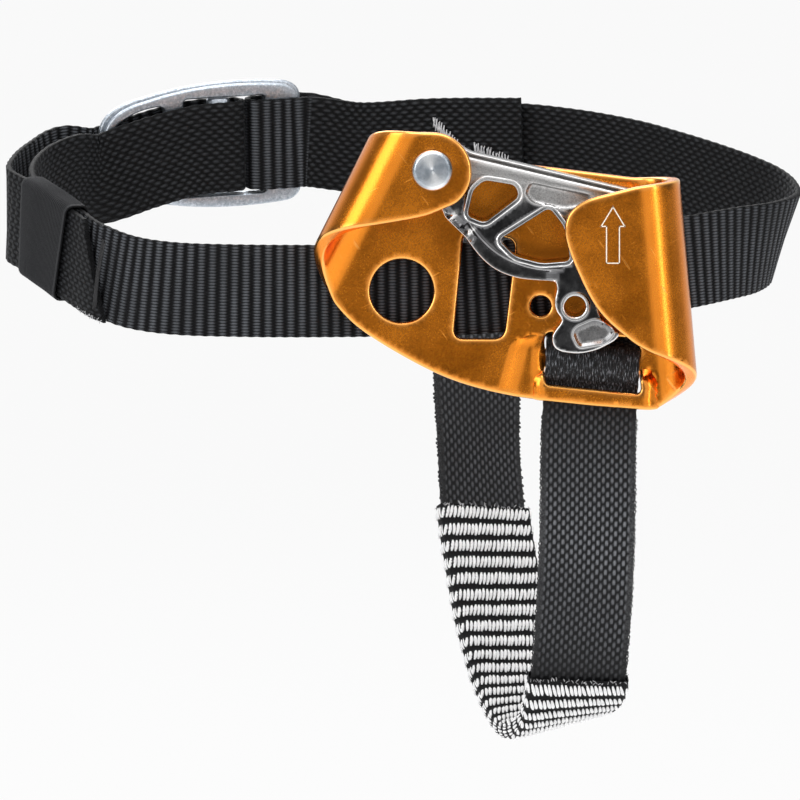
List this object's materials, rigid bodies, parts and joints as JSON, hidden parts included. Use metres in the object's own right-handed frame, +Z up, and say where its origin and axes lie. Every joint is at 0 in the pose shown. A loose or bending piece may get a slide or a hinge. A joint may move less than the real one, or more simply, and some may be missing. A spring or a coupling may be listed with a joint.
{
  "type": "foot ascender",
  "caption": "Right-foot rope ascender: folded aluminium frame with a sprung toothed cam, buckled ankle strap and sleeved under-foot strap.",
  "frame": {"origin": "middle of the ankle loop, level with the middle of the strap's front stretch", "axes": "+X to the wearer's outside along the frame's plate, +Y from the plate back towards the ankle loop's far side, +Z up along the rope"},
  "size_m": [0.1744, 0.1253, 0.1406],
  "materials": {
    "frame_aluminium": "orange anodised, satin with bright chamfered edges",
    "cam_steel": "polished cast steel with satin recesses",
    "pivot_steel": "turned steel",
    "buckle_steel": "speckled satin",
    "webbing": "ribbed black polyamide webbing",
    "foot_webbing": "brick-woven black webbing",
    "elastic": "fine ribbed elastic",
    "sleeve": "black tube with white satin-stitched stripes",
    "thread": "grey sewing thread"
  },
  "bodies": {
    "frame": {"shell": "frame_aluminium", "cam_rivet": "pivot_steel", "pivot_bush": "pivot_steel", "washer_front": "pivot_steel", "rivet_washer": "pivot_steel", "torsion_spring": "pivot_steel", "buckle_frame": "buckle_steel", "ankle_strap": "webbing", "foot_strap": "foot_webbing", "wear_sleeve": "sleeve", "rear_bartack_left": "thread", "rear_bartack_right": "thread", "front_bartack_upper": "thread", "front_bartack_lower": "thread", "tail_hem_stitch": "thread"},
    "cam": {"cam": "cam_steel"},
    "buckle_lock": {"buckle_slider": "buckle_steel", "buckle_bar": "buckle_steel"},
    "keeper": {"strap_keeper": "elastic", "keeper_stitch": "thread"}
  },
  "joints": [
    {"name": "cam_pivot", "type": "hinge", "parent": "frame", "child": "cam", "pos_m": [0.007, -0.0591, 0.0275], "axis": [0, 1, 0], "range_deg": [0, 35], "stiffness_Nm_per_rad": 0.04, "springref_deg": -40.11},
    {"name": "buckle_slide", "type": "slide", "parent": "frame", "child": "buckle_lock", "axis": [0.9649, 0.2585, 0.0471], "range_m": [0, 0.0006]},
    {"name": "keeper_slide", "type": "slide", "parent": "frame", "child": "keeper", "axis": [0.3696, -0.8892, -0.2697], "range_m": [-0.0012, 0.0012]}
  ]
}
